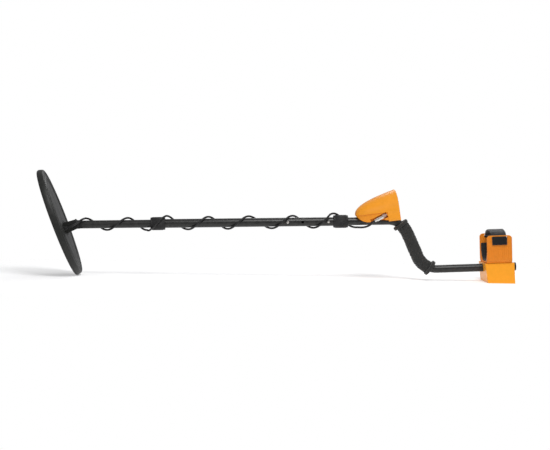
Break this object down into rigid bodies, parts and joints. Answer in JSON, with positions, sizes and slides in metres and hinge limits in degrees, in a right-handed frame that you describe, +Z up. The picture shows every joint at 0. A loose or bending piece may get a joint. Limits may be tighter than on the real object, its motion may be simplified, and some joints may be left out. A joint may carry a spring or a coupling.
{
  "type": "metal detector",
  "caption": "Hand-held metal detector: elliptical tilting search coil, telescopic stem, S-bent handle with foam grip, control housing and arm cuff.",
  "frame": {"origin": "on the ground under the middle of the object's box, standing on the coil's lower edge and the cuff's foot", "axes": "+X along the detector from the search coil to the arm cuff, +Z up, -Y the side with the cable connector and the snap buttons"},
  "size_m": [1.2225, 0.216, 0.2626],
  "materials": {
    "coil_plastic": "matt, slightly mottled",
    "stem_tube": "black anodised, semi-gloss",
    "black_plastic": "matt moulded",
    "orange_plastic": "satin moulded",
    "orange_dark": "satin moulded",
    "foam": "wrinkled closed-cell foam",
    "webbing": "woven nylon",
    "rubber": "matt",
    "cable_jacket": "smooth PVC",
    "bright_metal": "bright",
    "steel": "satin",
    "spring_steel": "blued",
    "copper": "enamelled winding wire",
    "window": "clear",
    "display": "grey-green liquid crystal",
    "board": "solder mask",
    "key_rubber": "satin",
    "cell": "printed sleeve, plain"
  },
  "bodies": {
    "handle": {"middle_stem": "stem_tube", "upper_stem": "stem_tube", "lower_lock_sleeve": "black_plastic", "lower_lock_bush": "black_plastic", "upper_lock_sleeve": "black_plastic", "upper_lock_bush": "black_plastic", "upper_spring_clip": "spring_steel", "tube_end_cap": "black_plastic", "hand_grip": "foam", "housing_base": "orange_dark", "housing_shell": "orange_plastic", "display_bezel": "black_plastic", "display_window": "window", "display_module": "display", "circuit_board": "board", "speaker": "black_plastic", "battery_tray": "black_plastic", "battery_contacts": "steel", "battery_cells": "cell", "headphone_socket": "black_plastic", "socket_nut": "bright_metal", "coil_socket": "steel", "coil_plug": "bright_metal", "housing_screws": "steel", "stem_screws": "steel", "arm_cuff": "orange_plastic", "cuff_foot": "orange_plastic", "cuff_pad": "foam", "cuff_strap": "webbing", "cuff_bolts": "steel", "cuff_nuts": "steel", "cable_upper": "cable_jacket"},
    "lower_stem": {"lower_stem": "stem_tube", "stem_tip": "black_plastic", "tilt_washers": "rubber", "lower_spring_clip": "spring_steel", "cable_lead": "cable_jacket", "cable_lower": "cable_jacket"},
    "coil": {"coil_top_cover": "coil_plastic", "coil_sole": "coil_plastic", "transmit_winding": "copper", "receive_winding": "copper", "cable_gland": "rubber", "tilt_bolt": "black_plastic"},
    "tilt_knob": {"tilt_knob": "black_plastic"},
    "lower_lock_nut": {"lower_lock_nut": "black_plastic"},
    "upper_lock_nut": {"upper_lock_nut": "black_plastic"},
    "lower_snap_button": {"lower_snap_button": "bright_metal"},
    "upper_snap_button": {"upper_snap_button": "bright_metal"},
    "battery_door": {"battery_door": "orange_plastic"},
    "coupling_ring": {"coupling_ring": "bright_metal"},
    "key_power": {"key_power": "key_rubber"},
    "key_mode": {"key_mode": "key_rubber"},
    "key_pinpoint": {"key_pinpoint": "key_rubber"},
    "key_eliminate": {"key_eliminate": "key_rubber"},
    "key_notch_left": {"key_notch_left": "key_rubber"},
    "key_notch_right": {"key_notch_right": "key_rubber"},
    "key_sense_down": {"key_sense_down": "key_rubber"},
    "key_sense_up": {"key_sense_up": "key_rubber"}
  },
  "joints": [
    {"name": "lower_stem_slide", "type": "slide", "parent": "handle", "child": "lower_stem", "axis": [0.9996, 0, 0.0297], "range_m": [-0.0769, 0.038], "deforming": ["cable_lower", "lower_snap_button"]},
    {"name": "coil_tilt", "type": "hinge", "parent": "lower_stem", "child": "coil", "pos_m": [-0.51474, 0, 0.12737], "axis": [0, 1, 0], "range_deg": [-65, 100], "deforming": ["cable_lead"]},
    {"name": "tilt_knob_spin", "type": "hinge", "parent": "coil", "child": "tilt_knob", "pos_m": [-0.51474, 0.022, 0.12737], "axis": [0, 1, 0], "continuous": true},
    {"name": "lower_lock_twist", "type": "hinge", "parent": "handle", "child": "lower_lock_nut", "pos_m": [-0.31383, 0, 0.13333], "axis": [0.9996, 0, 0.0297], "range_deg": [0, 90]},
    {"name": "upper_lock_twist", "type": "hinge", "parent": "handle", "child": "upper_lock_nut", "pos_m": [0.16696, 0, 0.1476], "axis": [0.9996, 0, 0.0297], "range_deg": [-90, 0]},
    {"name": "lower_snap_press", "type": "slide", "parent": "lower_stem", "child": "lower_snap_button", "axis": [0, 1, 0], "range_m": [0, 0.0042], "stiffness_N_per_m": 900, "deforming": ["lower_spring_clip"]},
    {"name": "upper_snap_press", "type": "slide", "parent": "handle", "child": "upper_snap_button", "axis": [0, 1, 0], "range_m": [0, 0.0042], "stiffness_N_per_m": 900, "deforming": ["upper_spring_clip"]},
    {"name": "battery_door_slide", "type": "slide", "parent": "handle", "child": "battery_door", "axis": [-0.7694, 0, -0.6388], "range_m": [0, 0.012]},
    {"name": "coupling_ring_turn", "type": "hinge", "parent": "handle", "child": "coupling_ring", "pos_m": [0.26622, -0.036, 0.166], "axis": [0.8686, 0, 0.4955], "continuous": true},
    {"name": "key_power_press", "type": "slide", "parent": "handle", "child": "key_power", "axis": [-0.9871, 0, -0.1599], "range_m": [0, 0.0008], "stiffness_N_per_m": 1500},
    {"name": "key_mode_press", "type": "slide", "parent": "handle", "child": "key_mode", "axis": [-0.9871, 0, -0.1599], "range_m": [0, 0.0008], "stiffness_N_per_m": 1500},
    {"name": "key_pinpoint_press", "type": "slide", "parent": "handle", "child": "key_pinpoint", "axis": [-0.9871, 0, -0.1599], "range_m": [0, 0.0008], "stiffness_N_per_m": 1500},
    {"name": "key_eliminate_press", "type": "slide", "parent": "handle", "child": "key_eliminate", "axis": [-0.9871, 0, -0.1599], "range_m": [0, 0.0008], "stiffness_N_per_m": 1500},
    {"name": "key_notch_left_press", "type": "slide", "parent": "handle", "child": "key_notch_left", "axis": [-0.9871, 0, -0.1599], "range_m": [0, 0.0008], "stiffness_N_per_m": 1500},
    {"name": "key_notch_right_press", "type": "slide", "parent": "handle", "child": "key_notch_right", "axis": [-0.9871, 0, -0.1599], "range_m": [0, 0.0008], "stiffness_N_per_m": 1500},
    {"name": "key_sense_down_press", "type": "slide", "parent": "handle", "child": "key_sense_down", "axis": [-0.9871, 0, -0.1599], "range_m": [0, 0.0008], "stiffness_N_per_m": 1500},
    {"name": "key_sense_up_press", "type": "slide", "parent": "handle", "child": "key_sense_up", "axis": [-0.9871, 0, -0.1599], "range_m": [0, 0.0008], "stiffness_N_per_m": 1500}
  ]
}
